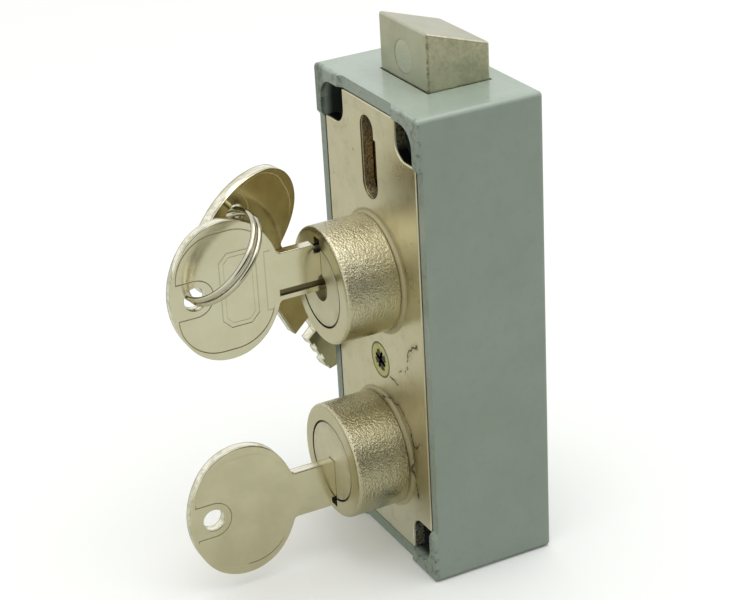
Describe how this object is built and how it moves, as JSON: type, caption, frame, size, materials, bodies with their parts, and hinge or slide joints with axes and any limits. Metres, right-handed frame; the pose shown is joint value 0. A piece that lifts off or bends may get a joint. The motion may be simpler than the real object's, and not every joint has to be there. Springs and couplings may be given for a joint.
{
  "type": "safe deposit box lock",
  "caption": "Safe deposit box lock: painted case, nickel cover plate with round noses, lever packs and a sliding bolt, keys in the noses and a spare key on a split ring.",
  "frame": {"origin": "centre of the case's bottom face", "axes": "+X across the lock to the right as seen from the front, +Y from the noses towards the back of the case, +Z along the case towards the bolt; the noses and the keys point to -Y"},
  "size_m": [0.0524, 0.075, 0.117],
  "materials": {
    "case_paint": "semi-gloss with a fine orange peel",
    "cover_nickel": "die-cast, satin nickel, stained",
    "plug_nickel": "satin nickel",
    "bolt_nickel": "cast, satin nickel",
    "key_nickel": "polished nickel",
    "ring_steel": "bright wire",
    "steel": "turned",
    "spring_steel": "blued strip",
    "brass": "stamped",
    "screw_yellow_zinc": "yellow zinc"
  },
  "bodies": {
    "lock": {"lock_case": "case_paint", "cover_plate": "cover_nickel", "cover_screw": "screw_yellow_zinc", "tail_guides": "steel", "renter_lever_post": "steel", "renter_spring_block": "brass", "renter_lever_springs": "spring_steel", "guard_lever_post": "steel", "guard_spring_block": "brass", "guard_lever_springs": "spring_steel"},
    "sliding_bolt": {"bolt": "bolt_nickel", "bolt_insert": "plug_nickel", "bolt_tail": "brass", "tail_rivets": "steel", "renter_fence": "steel", "guard_fence": "steel"},
    "renter_turning": {"renter_plug": "plug_nickel", "renter_cam": "steel", "crank_pin": "steel", "renter_key": "key_nickel"},
    "guard_turning": {"guard_plug": "plug_nickel", "guard_washer": "steel", "guard_key": "key_nickel"},
    "split_ring": {"key_ring": "ring_steel"},
    "spare": {"spare_key": "key_nickel"},
    "renter_lever_1": {"renter_lever_1": "brass"},
    "renter_lever_2": {"renter_lever_2": "brass"},
    "renter_lever_3": {"renter_lever_3": "brass"},
    "renter_lever_4": {"renter_lever_4": "brass"},
    "renter_lever_5": {"renter_lever_5": "brass"},
    "renter_lever_6": {"renter_lever_6": "brass"},
    "guard_lever_1": {"guard_lever_1": "brass"},
    "guard_lever_2": {"guard_lever_2": "brass"},
    "guard_lever_3": {"guard_lever_3": "brass"},
    "guard_lever_4": {"guard_lever_4": "brass"},
    "guard_lever_5": {"guard_lever_5": "brass"},
    "guard_lever_6": {"guard_lever_6": "brass"}
  },
  "joints": [
    {"name": "bolt_slide", "type": "slide", "parent": "lock", "child": "sliding_bolt", "axis": [0, 0, -1], "range_m": [0, 0.0124]},
    {"name": "renter_turn", "type": "hinge", "parent": "lock", "child": "renter_turning", "pos_m": [0, 0, 0.06475], "axis": [0, 1, 0], "range_deg": [-0.5, 90.5]},
    {"name": "guard_turn", "type": "hinge", "parent": "lock", "child": "guard_turning", "pos_m": [0, 0, 0.02308], "axis": [0, 1, 0], "range_deg": [-0.5, 90.5]},
    {"name": "renter_lever_1_lift", "type": "hinge", "parent": "lock", "child": "renter_lever_1", "pos_m": [-0.0068, 0, 0.04907], "axis": [0, 1, 0], "range_deg": [-0.2, 4.22], "deforming": ["renter_lever_springs"]},
    {"name": "renter_lever_2_lift", "type": "hinge", "parent": "lock", "child": "renter_lever_2", "pos_m": [-0.0068, 0, 0.04907], "axis": [0, 1, 0], "range_deg": [-0.2, 2.03]},
    {"name": "renter_lever_3_lift", "type": "hinge", "parent": "lock", "child": "renter_lever_3", "pos_m": [-0.0068, 0, 0.04907], "axis": [0, 1, 0], "range_deg": [-0.2, 3.12]},
    {"name": "renter_lever_4_lift", "type": "hinge", "parent": "lock", "child": "renter_lever_4", "pos_m": [-0.0068, 0, 0.04907], "axis": [0, 1, 0], "range_deg": [-0.2, 1.3]},
    {"name": "renter_lever_5_lift", "type": "hinge", "parent": "lock", "child": "renter_lever_5", "pos_m": [-0.0068, 0, 0.04907], "axis": [0, 1, 0], "range_deg": [-0.2, 3.85]},
    {"name": "renter_lever_6_lift", "type": "hinge", "parent": "lock", "child": "renter_lever_6", "pos_m": [-0.0068, 0, 0.04907], "axis": [0, 1, 0], "range_deg": [-0.2, 2.39]},
    {"name": "guard_lever_1_lift", "type": "hinge", "parent": "lock", "child": "guard_lever_1", "pos_m": [0.0068, 0, 0.0074], "axis": [0, -1, 0], "range_deg": [-0.2, 2.76], "deforming": ["guard_lever_springs"]},
    {"name": "guard_lever_2_lift", "type": "hinge", "parent": "lock", "child": "guard_lever_2", "pos_m": [0.0068, 0, 0.0074], "axis": [0, -1, 0], "range_deg": [-0.2, 4.22]},
    {"name": "guard_lever_3_lift", "type": "hinge", "parent": "lock", "child": "guard_lever_3", "pos_m": [0.0068, 0, 0.0074], "axis": [0, -1, 0], "range_deg": [-0.2, 1.3]},
    {"name": "guard_lever_4_lift", "type": "hinge", "parent": "lock", "child": "guard_lever_4", "pos_m": [0.0068, 0, 0.0074], "axis": [0, -1, 0], "range_deg": [-0.2, 3.49]},
    {"name": "guard_lever_5_lift", "type": "hinge", "parent": "lock", "child": "guard_lever_5", "pos_m": [0.0068, 0, 0.0074], "axis": [0, -1, 0], "range_deg": [-0.2, 1.66]},
    {"name": "guard_lever_6_lift", "type": "hinge", "parent": "lock", "child": "guard_lever_6", "pos_m": [0.0068, 0, 0.0074], "axis": [0, -1, 0], "range_deg": [-0.2, 3.12]},
    {"name": "ring_swing", "type": "hinge", "parent": "renter_turning", "child": "split_ring", "pos_m": [0, -0.0547, 0.0696], "axis": [1, 0, 0], "range_deg": [-15, 0]},
    {"name": "spare_round_ring", "type": "hinge", "parent": "split_ring", "child": "spare", "pos_m": [0, -0.04828, 0.07707], "axis": [0, 0.7071, -0.7071], "range_deg": [-12, 0]}
  ],
  "couplings": [
    {"joint": "renter_turn", "follows": "bolt_slide", "rad_per_m": 126.68},
    {"joint": "guard_turn", "follows": "bolt_slide", "rad_per_m": 126.68},
    {"joint": "renter_lever_1_lift", "follows": "bolt_slide", "rad_per_m": 5.6575},
    {"joint": "renter_lever_2_lift", "follows": "bolt_slide", "rad_per_m": 2.5716},
    {"joint": "renter_lever_3_lift", "follows": "bolt_slide", "rad_per_m": 4.1146},
    {"joint": "renter_lever_4_lift", "follows": "bolt_slide", "rad_per_m": 1.543},
    {"joint": "renter_lever_5_lift", "follows": "bolt_slide", "rad_per_m": 5.1432},
    {"joint": "renter_lever_6_lift", "follows": "bolt_slide", "rad_per_m": 3.0859},
    {"joint": "guard_lever_1_lift", "follows": "bolt_slide", "rad_per_m": 3.6002},
    {"joint": "guard_lever_2_lift", "follows": "bolt_slide", "rad_per_m": 5.6575},
    {"joint": "guard_lever_3_lift", "follows": "bolt_slide", "rad_per_m": 1.543},
    {"joint": "guard_lever_4_lift", "follows": "bolt_slide", "rad_per_m": 4.6289},
    {"joint": "guard_lever_5_lift", "follows": "bolt_slide", "rad_per_m": 2.0573},
    {"joint": "guard_lever_6_lift", "follows": "bolt_slide", "rad_per_m": 4.1146}
  ]
}
